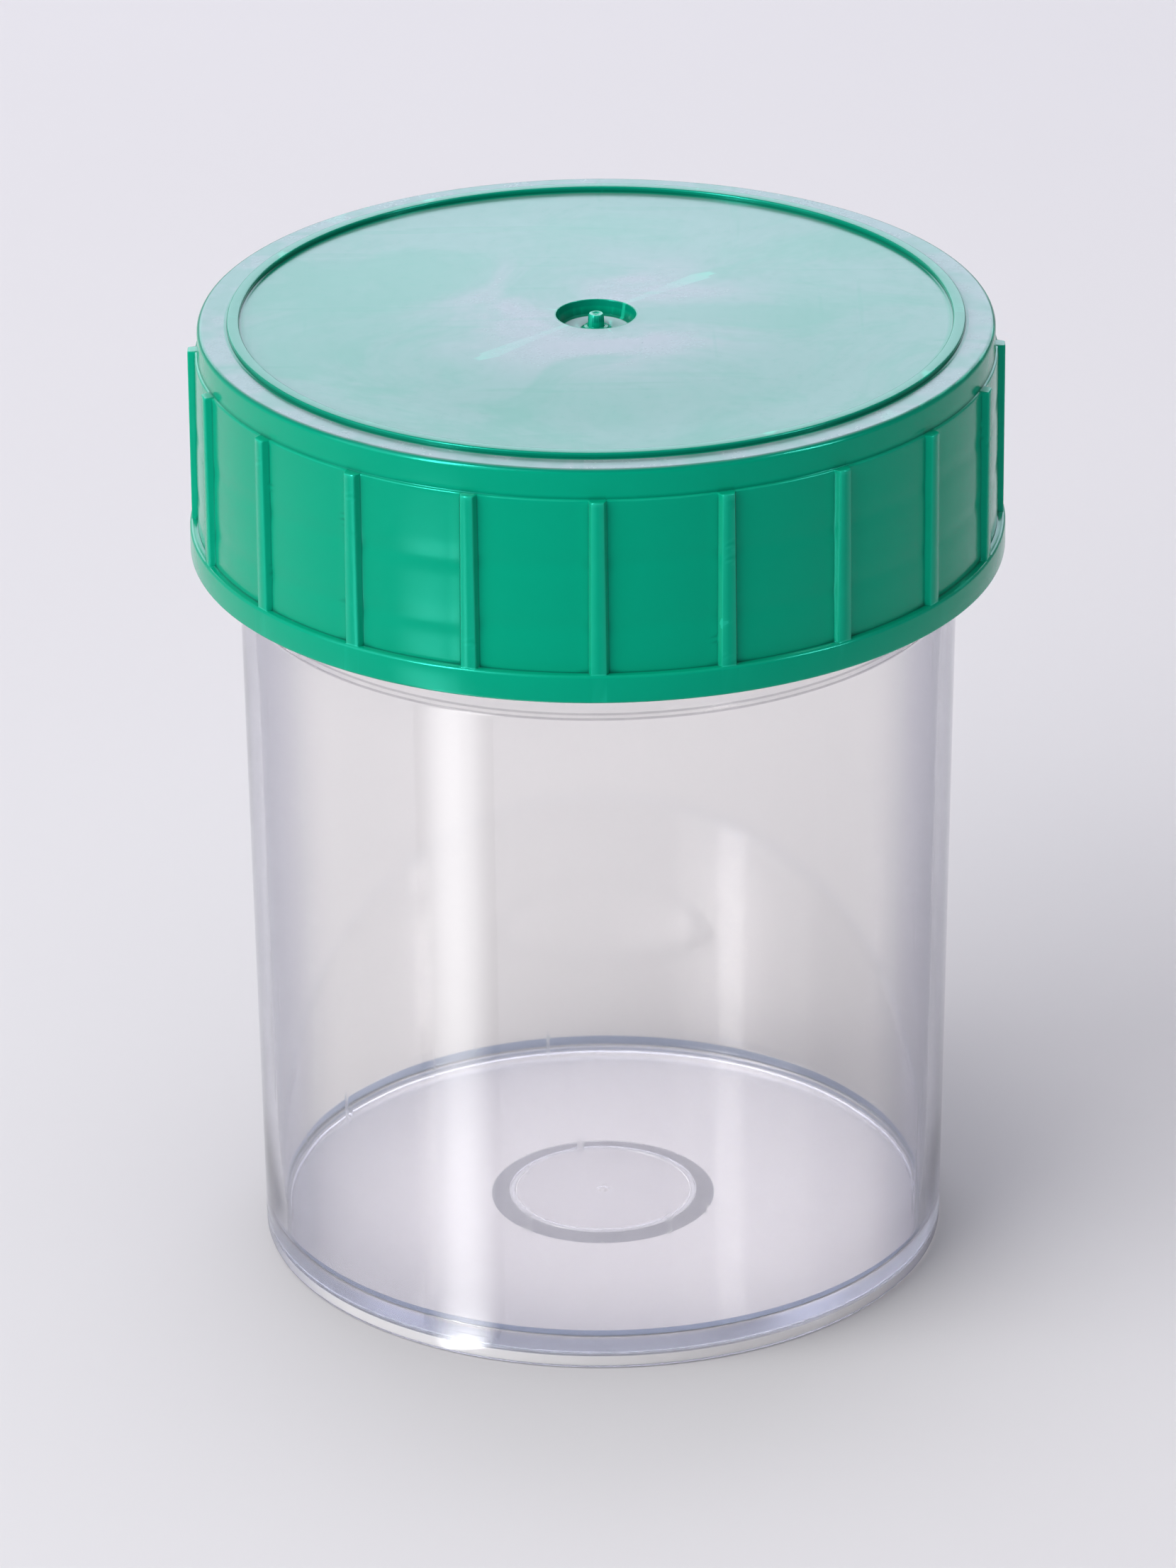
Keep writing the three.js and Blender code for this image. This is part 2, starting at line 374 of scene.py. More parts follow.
def skirt_profile():
    """Outside of the cap's skirt, from under the flange up to the ledge over the panels."""
    edge = FLANGE_RADIUS - FLANGE_EDGE
    panel_start = (PANEL_BOTTOM_RADIUS, FLANGE_TOP + 0.1)
    panel_end = (PANEL_TOP_RADIUS, RIB_TOP - 0.12)
    return [
        *arc(edge, CAP_BOTTOM + FLANGE_EDGE, FLANGE_EDGE, -90, 0, 6),
        *arc(edge, FLANGE_TOP - FLANGE_EDGE, FLANGE_EDGE, 0, 90, 6),
        (PANEL_BOTTOM_RADIUS + 0.08, FLANGE_TOP),
        (PANEL_BOTTOM_RADIUS + 0.02, FLANGE_TOP + 0.03),
        *line(panel_start, panel_end, SINK_ROW),
        panel_end,
        (PANEL_TOP_RADIUS - 0.01, RIB_TOP - 0.05),
        (PANEL_TOP_RADIUS - 0.05, RIB_TOP),
    ]


def top_profile():
    """The band, the rounded edge, the stacking ring and the crowned disc, out to in."""
    ring = RING_TOP - RING_EDGE
    crown = [
        (r, CAP_TOP + CROWN_HEIGHT * (1 - (r / CROWN_RADIUS) ** 2) ** 1.5)
        for r in np.linspace(CROWN_RADIUS, GATE_RECESS_RADIUS + GATE_LIP, 24)
    ]
    return [
        (BAND_RADIUS + 0.03, BAND_BOTTOM - 0.11),
        (BAND_RADIUS, BAND_BOTTOM - 0.06),
        (BAND_RADIUS, BAND_BOTTOM + 0.3),
        *arc(BAND_RADIUS - BAND_EDGE, CAP_TOP - BAND_EDGE, BAND_EDGE, 0, 90, 12),
        (BAND_RADIUS - BAND_EDGE - 0.1, CAP_TOP),
        (RING_OUTER + 0.15, CAP_TOP),
        (RING_OUTER + 0.05, CAP_TOP),
        (RING_OUTER, CAP_TOP + 0.04),
        *arc(RING_OUTER - RING_EDGE, ring, RING_EDGE, 0, 90, 6),
        *arc(RING_INNER + RING_EDGE, ring, RING_EDGE, 90, 180, 6),
        (RING_INNER, CAP_TOP + 0.04),
        (RING_INNER - 0.05, CAP_TOP),
        (RING_INNER - 0.15, CAP_TOP),
        *crown,
    ]


def gate_profile():
    """The recess in the middle of the top and the broken stub of the moulding gate."""
    crown_top = CAP_TOP + CROWN_HEIGHT
    floor = crown_top - GATE_RECESS_DEPTH
    nub_base = floor + NUB_BASE_HEIGHT
    lip_radius = GATE_RECESS_RADIUS + GATE_LIP
    return [
        *arc(lip_radius, crown_top - GATE_LIP, GATE_LIP, 90, 180, 4)[1:],
        (GATE_RECESS_FLOOR_RADIUS + 0.03, floor + 0.1),
        (GATE_RECESS_FLOOR_RADIUS - 0.1, floor),
        (2, floor),
        (NUB_BASE_RADIUS + 0.1, floor),
        (NUB_BASE_RADIUS, floor + 0.08),
        (NUB_BASE_RADIUS - 0.06, nub_base - 0.04),
        (NUB_RADIUS + 0.04, nub_base),
        (NUB_RADIUS, nub_base + 0.08),
        (NUB_RADIUS - 0.04, RING_TOP - 0.16),
        (NUB_RADIUS - 0.12, RING_TOP - 0.04),
        (NUB_RADIUS - 0.3, RING_TOP - 0.02),
        (0.15, RING_TOP - 0.1),
        (0, RING_TOP - 0.06),
    ]


def rib_columns():
    """Columns over the rounded side of a rib, from its flat top out to the panel.

    Each is a distance from the rib's edge in millimetres, with a lift of 1 on the rib to 0 beyond.
    """
    edge = np.array([-0.16, -0.11, -0.06, -0.02, 0.02, 0.06, 0.11, 0.17])
    lift = 1 - smooth((edge - edge[0]) / RIB_ROUNDING)
    return edge, lift


def cap_angles(width):
    """Angles and rib lifts of every column, for rows whose ribs are width millimetres wide."""
    edge, lift = rib_columns()
    pitch = 2 * math.pi / RIB_COUNT
    panel_share = np.linspace(0, 1, 10)[1:-1]
    half = width[:, None] / 2
    right_edge = (half + edge) / PANEL_TOP_RADIUS
    left_edge = pitch - right_edge[:, ::-1]
    start, end = right_edge[:, -1:], left_edge[:, :1]
    panel = start + (end - start) * panel_share
    middle = np.zeros((len(width), 1))
    columns = np.hstack([middle, right_edge, panel, left_edge])
    lifts = np.concatenate([[1], lift, np.zeros(len(panel_share)), lift[::-1]])
    angle = np.hstack([columns + pitch * rib for rib in range(RIB_COUNT)])
    return angle, np.tile(lifts, RIB_COUNT)


def with_ribs(radius, angle, height, lift):
    """The radius of the cap's panels with their sink marks, raised to the tips of the ribs."""
    proud = RIB_TIP_RADIUS - PANEL_TOP_RADIUS
    tip = np.minimum(radius + proud, RIB_TIP_RADIUS)
    sunk = radius - sink_relief(angle, height)
    return sunk + (tip - sunk) * lift


def make_cap():
    """The cap in one piece, with its thread, its grip ribs and its sink marks."""
    inside = bore_profile()
    skirt = skirt_profile()
    profile = [*inside, *skirt, *top_profile(), *gate_profile()]
    climb = np.clip((np.array(profile)[:, 1] - FLANGE_TOP) / (RIB_TOP - FLANGE_TOP), 0, 1)
    width = RIB_BOTTOM_WIDTH + (RIB_TOP_WIDTH - RIB_BOTTOM_WIDTH) * climb
    angle, lift = cap_angles(width)
    radius, height = spread(profile, len(lift))

    row = np.arange(len(profile))[:, None]
    on_bore = (row < len(inside)) & (radius > BORE_RADIUS - 0.01)
    on_bore = on_bore & (height < LINER_BEAD_HEIGHT - LINER_BEAD)
    radius = np.where(on_bore, radius - thread_relief(angle, height, CAP_THREAD), radius)

    on_skirt = (row >= len(inside)) & (row < len(inside) + len(skirt))
    on_panel = on_skirt & (radius < RIB_TIP_RADIUS) & (height > FLANGE_TOP - 0.01)
    radius = np.where(on_panel, with_ribs(radius, angle, height, lift), radius)
    piece = turned_mesh("screw_cap_body", radius, height, angle)
    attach(piece, "closure")
    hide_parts("screw_cap")
    return piece


def make_liner():
    """The foam disc, with softly rolled edges."""
    low, high, outer = liner_low.z, liner_high.z, liner_high.x
    flat = outer - LINER_EDGE
    profile = [
        (0, low),
        *line((4, low), (flat, low), 3),
        *arc(flat, low + LINER_EDGE, LINER_EDGE, -90, 0, 5),
        *arc(flat, high - LINER_EDGE, LINER_EDGE, 0, 90, 5),
        *line((outer - 3, high), (4, high), 3),
        (0, high),
    ]
    piece = turned_mesh("seal_liner_foam", *spread(profile, TURN_STEPS), even_turn(len(profile)))
    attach(piece, "seal")
    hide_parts("seal_liner")
    return piece


# ---------------------------------------------------------------- materials


# Colours of the clear plastic: face on, edge on, at its outline, at each painted feature, and
# along the light's way through it. The edge-on, outline, inner corner, floor rim, under-foot and
# slope colours are painted shade.
CLEAR = (0.985, 0.972, 0.96, 1)
# Painted shade: the wall seen edge on, darker still at its outline.
CLEAR_EDGE_ON_SHADE = (0.62, 0.62, 0.69, 1)
CLEAR_OUTLINE_SHADE = (0.28, 0.29, 0.36, 1)
# Painted shade: the dark blue line in the corner where the wall meets the floor.
INNER_CORNER_SHADE_BLUE = (0.2, 0.27, 0.44, 1)
# Painted shade: the floor's thick edge seen through the outer wall.
FLOOR_RIM_SHADE_BLUE = (0.74, 0.8, 0.93, 1)
# Painted contact shade under the foot.
UNDER_FOOT_CONTACT_SHADE = (0.25, 0.3, 0.36, 1)
MOULD_LINE_GREY = (0.5, 0.49, 0.5, 1)
FROST_GREY = (0.42, 0.4, 0.41, 1)
PUSH_UP_RING_BLUE = (0.66, 0.72, 0.84, 1)
# Painted shade: the dark band of the push-up's slope.
PUSH_UP_SLOPE_SHADE = (0.1, 0.105, 0.14, 1)
PATH_THROUGH_PLASTIC = (0.2, 0.2, 0.38, 1)

# Tints of the light that passes through the clear plastic to what lies behind it.
SHADOW_FACE_ON = (0.97, 0.96, 0.955, 1)
SHADOW_EDGE_ON = (0.7, 0.69, 0.7, 1)
SHADOW_NEAR_FOOT = (0.16, 0.17, 0.2, 1)

# Colours of the green plastic.
SIDE_GREEN_DEEP = (0.0, 0.315, 0.175, 1)
SIDE_GREEN_LIGHT = (0.0, 0.335, 0.19, 1)
# Painted shade: the top is a darker green than the sides, for the stronger light on it.
TOP_GREEN_SHADED = (0.0, 0.235, 0.14, 1)
# Painted shade in the creases.
CREASE_SHADE_GREEN = (0.0, 0.13, 0.075, 1)
# Painted highlight on the edges.
EDGE_HIGHLIGHT_GREEN = (0.01, 0.44, 0.27, 1)
# Painted reflection: the pale ring on the gate recess floor.
RECESS_REFLECTION_GREEN = (0.45, 0.58, 0.62, 1)
HAZE_GREY = (0.37, 0.385, 0.44, 1)
GREEN_GLOSS = (0.08, 1.0, 0.85, 1)


class Shading:
    """A material and short ways to add and link its nodes."""

    def __init__(self, name):
        self.material = bpy.data.materials.new(name)
        self.material.use_nodes = True
        self.tree = self.material.node_tree
        self.tree.nodes.clear()
        self.output = self.add("ShaderNodeOutputMaterial")
        self.surface = self.add("ShaderNodeBsdfPrincipled")
        self.link(self.surface.outputs[0], self.output.inputs["Surface"])
        self.place = self.add("ShaderNodeTexCoord").outputs["Object"]

    def add(self, kind, **settings):
        node = self.tree.nodes.new(kind)
        for name, value in settings.items():
            setattr(node, name, value)
        return node

    def link(self, source, target):
        self.tree.links.new(source, target)

    def feed(self, socket, value):
        if isinstance(value, bpy.types.NodeSocket):
            self.link(value, socket)
        else:
            socket.default_value = value

    def set(self, **values):
        """Sets or links the main shader's sockets, named with _ for a space."""
        for name, value in values.items():
            self.feed(self.surface.inputs[name.replace("_", " ")], value)

    def math(self, operation, *values):
        node = self.add("ShaderNodeMath", operation=operation)
        for socket, value in zip(node.inputs, values):
            self.feed(socket, value)
        return node.outputs[0]

    def between(self, value, low, high, start=0.0, end=1.0):
        """Carries a value from the range low..high to start..end, with soft ends."""
        node = self.add("ShaderNodeMapRange", interpolation_type="SMOOTHSTEP")
        for socket, number in zip(node.inputs, (value, low, high, start, end)):
            self.feed(socket, number)
        return node.outputs[0]

    def mix(self, factor, first, second):
        node = self.add("ShaderNodeMix", data_type="RGBA", clamp_factor=True)
        self.feed(node.inputs[0], factor)
        self.feed(node.inputs[6], first)
        self.feed(node.inputs[7], second)
        return node.outputs[2]

    def stretched(self, scale, turn=0.0):
        """Object coordinates scaled along each axis and turned about Z."""
        node = self.add("ShaderNodeMapping")
        self.link(self.place, node.inputs["Vector"])
        node.inputs["Scale"].default_value = scale
        node.inputs["Rotation"].default_value = (0, 0, turn)
        return node.outputs[0]

    def noise(self, scale, detail=3.0, roughness=0.5, distortion=0.0, at=None):
        node = self.add("ShaderNodeTexNoise")
        self.link(at or self.place, node.inputs["Vector"])
        node.inputs["Scale"].default_value = scale
        node.inputs["Detail"].default_value = detail
        node.inputs["Roughness"].default_value = roughness
        node.inputs["Distortion"].default_value = distortion
        return node.outputs[0]

    def bump(self, height, distance, strength=1.0, below=None):
        node = self.add("ShaderNodeBump")
        node.inputs["Strength"].default_value = strength
        node.inputs["Distance"].default_value = distance
        self.link(height, node.inputs["Height"])
        if below is not None:
            self.link(below, node.inputs["Normal"])
        return node.outputs[0]

    def position(self):
        """Distance from the axis and height, in metres."""
        split = self.add("ShaderNodeSeparateXYZ")
        self.link(self.place, split.inputs[0])
        x, y, z = split.outputs
        across = self.math("MULTIPLY", x, x)
        along = self.math("MULTIPLY", y, y)
        return self.math("SQRT", self.math("ADD", across, along)), z


def let_lamps_through(shading, tint):
    """Rays from lamps and matt surfaces pass straight through, so the plastic casts a pale shadow."""
    path = shading.add("ShaderNodeLightPath")
    clear = shading.add("ShaderNodeBsdfTransparent")
    shading.feed(clear.inputs["Color"], tint)
    mixer = shading.add("ShaderNodeMixShader")
    soft_ray = shading.math(
        "MAXIMUM", path.outputs["Is Shadow Ray"], path.outputs["Is Diffuse Ray"]
    )
    shading.link(soft_ray, mixer.inputs[0])
    shading.link(shading.surface.outputs[0], mixer.inputs[1])
    shading.link(clear.outputs[0], mixer.inputs[2])
    shading.link(mixer.outputs[0], shading.output.inputs["Surface"])


def absorb(shading):
    """Tints the light by the length of its way through the plastic."""
    volume = shading.add("ShaderNodeVolumeAbsorption")
    volume.inputs["Color"].default_value = PATH_THROUGH_PLASTIC
    volume.inputs["Density"].default_value = 6
    shading.link(volume.outputs[0], shading.output.inputs["Volume"])


def zone(shading, value, low, high, edge):
    """1 where a value in metres lies between two limits in millimetres, with soft ends."""
    above = shading.between(value, (low - edge) * MM, low * MM)
    below = shading.between(value, (high + edge) * MM, high * MM)
    return shading.math("MULTIPLY", above, below)


def clear_relief(shading, height, underside, grain):
    """Slow waves and hairline scratches on the wall, and the matt grain of the underside."""
    on_wall = shading.between(height, 3 * MM, 6 * MM)
    waves = shading.noise(90, detail=1.0, at=shading.stretched((1, 1, 0.25)))
    waves = shading.math("MULTIPLY", waves, on_wall)
    scratches = shading.noise(900, detail=1.0, at=shading.stretched((1, 1, 0.05), 0.4))
    lines = shading.math("MULTIPLY", shading.between(scratches, 0.66, 0.72), on_wall)
    relief = shading.bump(waves, 0.00006, 0.6)
    relief = shading.bump(lines, 0.000003, 0.4, below=relief)
    relief = shading.bump(shading.math("MULTIPLY", grain, underside), 0.00002, 0.5, below=relief)
    return relief, shading.between(lines, 0, 1, 0.03, 0.12)


def push_up_zones(shading, from_axis, underside):
    """Where the push-up's frosted middle, the polished ring around it and its matt slope are."""
    frost = shading.between(from_axis, PUSH_UP_RING_INNER * MM, (PUSH_UP_RING_INNER - 0.05) * MM)
    ring = zone(shading, from_axis, PUSH_UP_RING_INNER, PUSH_UP_RING_OUTER, 0.05)
    slope = zone(shading, from_axis, PUSH_UP_RING_OUTER + 0.05, PUSH_UP_RADIUS, 0.05)
    return [shading.math("MULTIPLY", part, underside) for part in (frost, ring, slope)]


def paint_foot_shade(shading, colour, from_axis, height, on_outside):
    """Paints shade on the foot: dark blue in the floor's inner corner, pale blue on the floor's rim
    seen in the wall, and dark grey on the foot's underside for the contact shade.
    """
    corner_radius = wall_radius(FLOOR_TOP) - WALL
    on_inside = zone(shading, from_axis, corner_radius - 0.35, corner_radius + 0.3, 0.1)
    in_corner = zone(shading, height, FLOOR_TOP + 0.08, FLOOR_TOP + 0.65, 0.08)
    # Painted shade in the inner corner between the wall and the floor.
    corner = shading.math("MULTIPLY", on_inside, in_corner)
    colour = shading.mix(corner, colour, INNER_CORNER_SHADE_BLUE)
    # Painted shade: a pale blue band on the outer wall level with the floor's edge.
    beside_floor = zone(shading, height, FLOOR_UNDERSIDE + 0.2, FLOOR_TOP + 0.25, 0.1)
    shaded_floor_rim = shading.math("MULTIPLY", on_outside, beside_floor)
    colour = shading.mix(shaded_floor_rim, colour, FLOOR_RIM_SHADE_BLUE)
    # Painted contact shade: dark grey on the lowest part of the foot ring.
    foot_inner = FOOT_RADIUS - FOOT_WIDTH
    on_ring = shading.between(from_axis, (foot_inner - 0.4) * MM, foot_inner * MM)
    lowest = shading.between(height, 0.16 * MM, 0.08 * MM)
    return shading.mix(shading.math("MULTIPLY", on_ring, lowest), colour, UNDER_FOOT_CONTACT_SHADE)


def clear_plastic():
    """Slightly milky clear polypropylene, with painted shade: bluer and darker in its inner corner,
    where it's seen edge on, on the floor's edge seen in the wall and under the foot.

    The push-up under the floor is frosted, with a matt slope around it painted dark as shade.
    """
    shading = Shading("clear_plastic")
    from_axis, height = shading.position()
    grain = shading.noise(2600, detail=3.0, roughness=0.7)
    underside = shading.between(height, (FLOOR_TOP - 0.2) * MM, (FLOOR_TOP - 0.3) * MM)
    relief, rough = clear_relief(shading, height, underside, grain)

    facing = shading.add("ShaderNodeLayerWeight").outputs["Facing"]
    edge_on = shading.between(facing, 0.42, 0.7)
    # Painted shade: darker and bluer where the wall is seen edge on, darkest at its outline.
    colour = shading.mix(edge_on, CLEAR, CLEAR_EDGE_ON_SHADE)
    colour = shading.mix(shading.between(facing, 0.66, 0.9), colour, CLEAR_OUTLINE_SHADE)
    on_outside = shading.between(from_axis, (FOOT_RADIUS - 0.2) * MM, (FOOT_RADIUS - 0.1) * MM)
    colour = paint_foot_shade(shading, colour, from_axis, height, on_outside)
    mould_line = zone(shading, height, MOULD_LINE_HEIGHT - 0.06, MOULD_LINE_HEIGHT + 0.06, 0.07)
    colour = shading.mix(mould_line, colour, MOULD_LINE_GREY)

    frost, ring, slope = push_up_zones(shading, from_axis, underside)
    colour = shading.mix(frost, colour, FROST_GREY)
    colour = shading.mix(ring, colour, PUSH_UP_RING_BLUE)
    # Painted shade: the matt slope around the push-up is nearly black.
    colour = shading.mix(slope, colour, PUSH_UP_SLOPE_SHADE)
    frosty = shading.between(grain, 0.3, 0.7, 0.34, 0.5)
    for part, least in ((underside, 0.2), (frost, frosty), (slope, 0.8)):
        rough = shading.math("MAXIMUM", rough, shading.math("MULTIPLY", part, least))

    milky_foot = zone(shading, height, 0.35, FLOOR_UNDERSIDE + 0.1, 0.1)
    milky_foot = shading.math("MULTIPLY", on_outside, milky_foot)
    clear_foot = shading.between(milky_foot, 0, 1, 0.96, 0.4)
    clear_slope = shading.between(slope, 0, 1, 1, 0.15)
    shading.set(
        Base_Color=colour,
        Roughness=rough,
        IOR=1.49,
        Transmission_Weight=shading.math("MINIMUM", clear_foot, clear_slope),
        Normal=relief,
    )
    near_foot = shading.math("MULTIPLY", on_outside, shading.between(height, 16 * MM, 5 * MM))
    shadow = shading.mix(edge_on, SHADOW_FACE_ON, SHADOW_EDGE_ON)
    let_lamps_through(shading, shading.mix(near_foot, shadow, SHADOW_NEAR_FOOT))
    absorb(shading)
    return shading.material


def top_haze(shading, from_axis, grit, hairlines, on_top):
    """How strongly the flat top is clouded by rubbing: most in the middle, in loose patches."""
    clouds = shading.noise(70, detail=4.0, distortion=1.2)
    fine = shading.noise(260, detail=2.0)
    swirl = shading.math("ADD", clouds, shading.math("MULTIPLY", fine, 0.12))
    near_middle = shading.between(from_axis, 17 * MM, 5 * MM, 0.38, 1)
    patches = shading.between(swirl, 0.4, 0.7, 0.36, 1)
    inside_ring = shading.between(from_axis, (RING_INNER - 0.1) * MM, (RING_INNER - 0.5) * MM)
    disc = shading.math("MULTIPLY", shading.math("MULTIPLY", patches, near_middle), inside_ring)

    outside_ring = shading.between(from_axis, (RING_OUTER + 0.1) * MM, (RING_OUTER + 0.3) * MM)
    before_edge = shading.between(from_axis, (BAND_RADIUS - 0.15) * MM, (BAND_RADIUS - 0.4) * MM)
    rubbed = shading.between(fine, 0.35, 0.6, 0.4, 0.72)
    border = shading.math("MULTIPLY", shading.math("MULTIPLY", outside_ring, before_edge), rubbed)

    haze = shading.math("MAXIMUM", disc, border)
    recess = (GATE_RECESS_RADIUS + GATE_LIP) * MM
    beyond_recess = shading.between(from_axis, recess, recess + 0.1 * MM)
    unworn = shading.between(grit, 0.55, 0.75, 1, 0.92)
    unscratched = shading.between(hairlines, 0, 1, 1, 0.8)
    for share in (on_top, beyond_recess, unworn, unscratched):
        haze = shading.math("MULTIPLY", haze, share)
    return haze


def green_colour(shading, from_axis, height, haze, on_top):
    """Green with a slow mottle and painted light: a darker top, painted shade in creases, painted
    highlights on edges and a painted reflection on the recess floor, clouded by the haze.
    """
    green = shading.mix(shading.noise(60, detail=4.0), SIDE_GREEN_DEEP, SIDE_GREEN_LIGHT)
    # Painted shade: the top darker than the sides of the same plastic.
    green = shading.mix(on_top, green, TOP_GREEN_SHADED)
    bend = shading.add("ShaderNodeNewGeometry").outputs["Pointiness"]
    # Painted shade in hollow creases, found by pointiness.
    green = shading.mix(shading.between(bend, 0.49, 0.44), green, CREASE_SHADE_GREEN)
    # Painted highlight on convex edges, found by pointiness.
    green = shading.mix(shading.between(bend, 0.51, 0.56), green, EDGE_HIGHLIGHT_GREEN)
    colour = shading.mix(shading.math("MULTIPLY", haze, 0.92), green, HAZE_GREY)
    # Painted reflection on the floor of the gate recess, around the nub.
    in_recess = zone(shading, height, CAP_TOP - 1.2, CAP_TOP - 0.75, 0.1)
    floor_start = NUB_BASE_RADIUS + 0.3
    floor_end = GATE_RECESS_FLOOR_RADIUS - 0.3
    reflecting_recess_floor = zone(shading, from_axis, floor_start, floor_end, 0.15)
    reflecting_recess_floor = shading.math("MULTIPLY", reflecting_recess_floor, in_recess)
    return shading.mix(reflecting_recess_floor, colour, RECESS_REFLECTION_GREEN)


def green_plastic():
    """Moulded green plastic: a scuffed, hazy top, and satin panels with fine handling marks."""
    shading = Shading("green_plastic")
    from_axis, height = shading.position()
    grit = shading.noise(1500, detail=2.0, roughness=0.7)
    brushed = shading.noise(500, detail=2.0, at=shading.stretched((1, 0.08, 1), 0.5))
    rubbed = shading.noise(420, detail=2.0, at=shading.stretched((0.1, 1, 1), -0.35))
    hairlines = shading.between(shading.math("MAXIMUM", brushed, rubbed), 0.62, 0.72)
    on_top = shading.between(height, (CAP_TOP - 0.25) * MM, (CAP_TOP - 0.1) * MM)
    haze = top_haze(shading, from_axis, grit, hairlines, on_top)
    satin = shading.between(grit, 0.3, 0.7, 0.16, 0.2)

    relief = shading.bump(shading.noise(70, detail=1.0), 0.00003, 0.4)
    relief = shading.bump(grit, 0.000001, 0.2, below=relief)
    relief = shading.bump(hairlines, 0.000001, 0.1, below=relief)
    shading.set(
        Base_Color=green_colour(shading, from_axis, height, haze, on_top),
        Roughness=shading.math("ADD", satin, shading.math("MULTIPLY", haze, 0.12)),
        IOR=1.4,
        Specular_Tint=GREEN_GLOSS,
        Normal=relief,
    )
    return shading.material


def liner_foam():
    """Closed-cell foam: fine cells under a slightly waxy skin."""
    shading = Shading("liner_foam")
    cells = shading.add("ShaderNodeTexVoronoi")
    shading.link(shading.place, cells.inputs["Vector"])
    cells.inputs["Scale"].default_value = 3200
    clouds = shading.noise(220, detail=3.0)
    colour = shading.mix(clouds, (0.86, 0.86, 0.83, 1), (0.93, 0.93, 0.91, 1))
    relief = shading.bump(cells.outputs["Distance"], 0.00008, 0.7)
    shading.set(
        Base_Color=colour,
        Roughness=shading.between(clouds, 0.3, 0.7, 0.5, 0.65),
        Normal=relief,
    )
    return shading.material


def floor_paint():
    """The plain pale floor: matt, with a faint cloudiness."""
    shading = Shading("floor_paint")
    cloud = shading.noise(14, detail=4.0)
    colour = shading.mix(cloud, (0.74, 0.725, 0.73, 1), (0.76, 0.745, 0.75, 1))
    shading.set(Base_Color=colour, Roughness=0.8, Specular_IOR_Level=0)
    return shading.material


def dress(beaker, cap, liner):
    """Gives every piece its material."""
    beaker.data.materials.append(clear_plastic())
    cap.data.materials.append(green_plastic())
    liner.data.materials.append(liner_foam())


# ---------------------------------------------------------------- floor, light, camera


def make_sheet(name, vertices, columns):
    """A sheet through a grid of vertices, which are listed row after row."""
    faces = []
    for corner in range(len(vertices) - columns):
        above = corner + columns
        if above % columns != columns - 1:
            faces.append((corner, corner + 1, above + 1, above))
    mesh = bpy.data.meshes.new(name)
    mesh.from_pydata(vertices, [], faces)
    sheet = bpy.data.objects.new(name, mesh)
    bpy.context.scene.collection.objects.link(sheet)
    return sheet


def make_floor():
    """A wide plain floor, six metres across."""
    ticks = np.linspace(-3, 3, 13)
    vertices = [(x, y, -FLOOR_GAP * MM) for y in ticks for x in ticks]
    floor = make_sheet("floor", vertices, len(ticks))
    floor.data.materials.append(floor_paint())


def make_sky():
    """A dim bluish room, darker to the right, for what the lamps don't fill."""
    world = bpy.data.worlds.new("sky")
    bpy.context.scene.world = world
    world.use_nodes = True
    tree = world.node_tree
    background = tree.nodes["Background"]
    coordinates = tree.nodes.new("ShaderNodeTexCoord")
    split = tree.nodes.new("ShaderNodeSeparateXYZ")
    to_right = tree.nodes.new("ShaderNodeMapRange")
    to_right.inputs["From Min"].default_value = -0.6
    to_right.inputs["From Max"].default_value = 0.7
    to_right.inputs["To Min"].default_value = 0.55
    to_right.inputs["To Max"].default_value = 0.22
    tree.links.new(coordinates.outputs["Generated"], split.inputs[0])
    tree.links.new(split.outputs["X"], to_right.inputs["Value"])
    tree.links.new(to_right.outputs[0], background.inputs["Strength"])
    background.inputs["Color"].default_value = (0.9, 0.9, 1.0, 1)


def make_lamp(name, place, size, brightness, colour=(1, 1, 1)):
    """A soft rectangular panel that faces the middle of the object, itself out of sight.

    Its energy grows with its area, so that the brightness doesn't depend on the size.
    """
    lamp = bpy.data.lights.new(name, "AREA")
    lamp.shape = "RECTANGLE"
    lamp.size, lamp.size_y = size
    lamp.energy = 4 * brightness * lamp.size * lamp.size_y
    lamp.color = colour
    holder = bpy.data.objects.new(name, lamp)
    bpy.context.scene.collection.objects.link(holder)
    holder.location = place
    to_middle = (cad_low + cad_high) / 2 - Vector(place)
    holder.rotation_euler = to_middle.to_track_quat("-Z", "Y").to_euler()
    holder.visible_camera = False
    return holder


def from_azimuth(degrees, distance, height):
    """A point at a distance from the axis, with the azimuth counted from +X towards +Y."""
    azimuth = math.radians(degrees)
    return (distance * math.cos(azimuth), distance * math.sin(azimuth), height)


def make_lights():
    """Soft panels behind, at the left front and above, and two narrow windows."""
    make_lamp("back_panel", (0, 1.1, 0.5), (1.5, 0.42), 2.6, (0.83, 0.83, 1.0))
    make_lamp("key_panel", (-0.87, -0.61, 0.75), (1.2, 1.2), 2.55)
    make_lamp("top_panel", (0, -0.1, 1.3), (1.6, 1.6), 0.45)
    # Two upright windows that only show as glints on polished edges.
    for name, azimuth, size, brightness in (
        ("left_window", LEFT_GLINT_AZIMUTH, (0.2, 0.8), 36),
        ("right_window", RIGHT_GLINT_AZIMUTH, (0.14, 0.6), 26),
    ):
        window = make_lamp(name, from_azimuth(azimuth, 1.0, 0.75), size, brightness)
        window.visible_diffuse = False


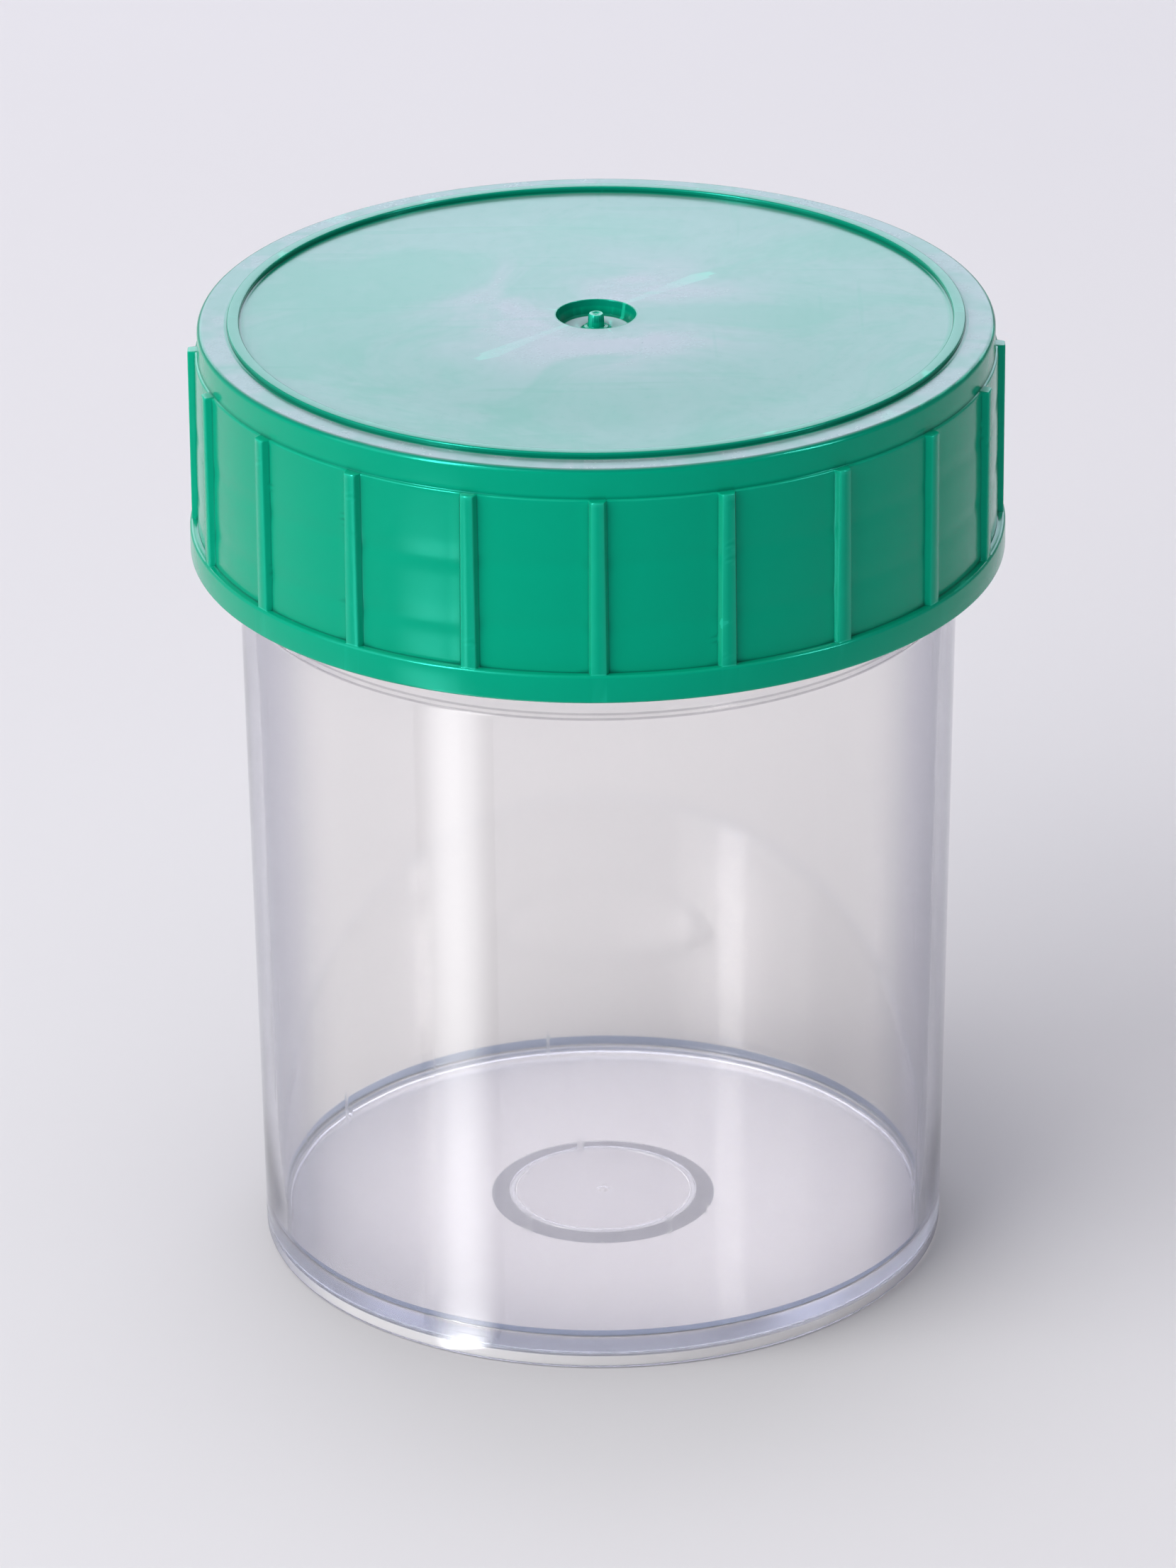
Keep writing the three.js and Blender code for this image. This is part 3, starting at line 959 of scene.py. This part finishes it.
def make_reflection_card():
    """A glowing wedge on the floor that draws the upright streak on the round walls.

    It starts at the foot under the streak and runs the way that the walls mirror the view there,
    so the streak is as wide at the neck as at the foot. It fades to both sides, and only
    mirror-like rays see it.
    """
    begin = np.array(from_azimuth(STREAK_AZIMUTH, FOOT_RADIUS, CARD_HEIGHT))
    out = np.array(from_azimuth(LEFT_GLINT_AZIMUTH, 1, 0))
    side = np.array(from_azimuth(LEFT_GLINT_AZIMUTH - 90, 1, 0))
    across = np.linspace(-1, 1, 17)
    vertices, glow = [], []
    for distance in [0.5, 1, 2, 3, 4, 6, 9, *np.linspace(14, CARD_LENGTH, 16)]:
        nearness = math.exp(-distance / CARD_FLARE_LENGTH)
        half_width = (CARD_HALF_WIDTH + CARD_WIDENING * distance) * (1 - nearness / 2)
        brightness = CARD_BRIGHTNESS + CARD_FLARE_BRIGHTNESS * nearness
        for share in across:
            vertices.append(tuple((begin + out * distance + side * half_width * share) * MM))
            glow.append((1 - share**2) ** 2 * brightness)
    card = make_sheet("reflection_card", vertices, len(across))
    card.data.attributes.new("glow", "FLOAT", "POINT").data.foreach_set("value", glow)
    card.data.materials.append(glowing_card())
    card.visible_camera = False
    card.visible_diffuse = False
    card.visible_transmission = False
    card.visible_shadow = False


def glowing_card():
    """Plain light, as strong as the mesh's glow attribute says."""
    material = bpy.data.materials.new("glowing_card")
    material.use_nodes = True
    tree = material.node_tree
    tree.nodes.clear()
    output = tree.nodes.new("ShaderNodeOutputMaterial")
    light = tree.nodes.new("ShaderNodeEmission")
    glow = tree.nodes.new("ShaderNodeAttribute")
    glow.attribute_name = "glow"
    tree.links.new(glow.outputs["Fac"], light.inputs["Strength"])
    tree.links.new(light.outputs[0], output.inputs["Surface"])
    return material


def set_light_paths():
    """Lets light bounce often enough inside the clear plastic for its edges to stay bright."""
    cycles = bpy.context.scene.cycles
    cycles.max_bounces = 24
    cycles.glossy_bounces = 16
    cycles.transmission_bounces = 24
    cycles.transparent_max_bounces = 24


def make_camera():
    """A view from in front and above through a long lens, turned by small angles in radians."""
    place = Vector((0, -0.59745, 0.30928))
    pitch, yaw, roll = 0.4285, -0.0015, -0.0086
    flat_ahead = Vector((math.sin(yaw), math.cos(yaw), 0))
    ahead = math.cos(pitch) * flat_ahead - Vector((0, 0, math.sin(pitch)))
    level = Vector((math.cos(yaw), -math.sin(yaw), 0))
    upright = level.cross(ahead)
    right = math.cos(roll) * level + math.sin(roll) * upright
    up = -math.sin(roll) * level + math.cos(roll) * upright
    lens = bpy.data.cameras.new("camera")
    lens.sensor_width = 36
    lens.lens = LENS_LENGTH
    lens.clip_start = 0.01
    lens.clip_end = 100
    camera = bpy.data.objects.new("camera", lens)
    bpy.context.scene.collection.objects.link(camera)
    turn = Matrix((right, up, -ahead)).transposed().to_4x4()
    camera.matrix_world = Matrix.Translation(place) @ turn
    bpy.context.scene.camera = camera


dress(make_beaker(), make_cap(), make_liner())
make_floor()
make_sky()
make_lights()
make_reflection_card()
make_camera()
set_light_paths()
bpy.context.scene.view_settings.view_transform = "Standard"
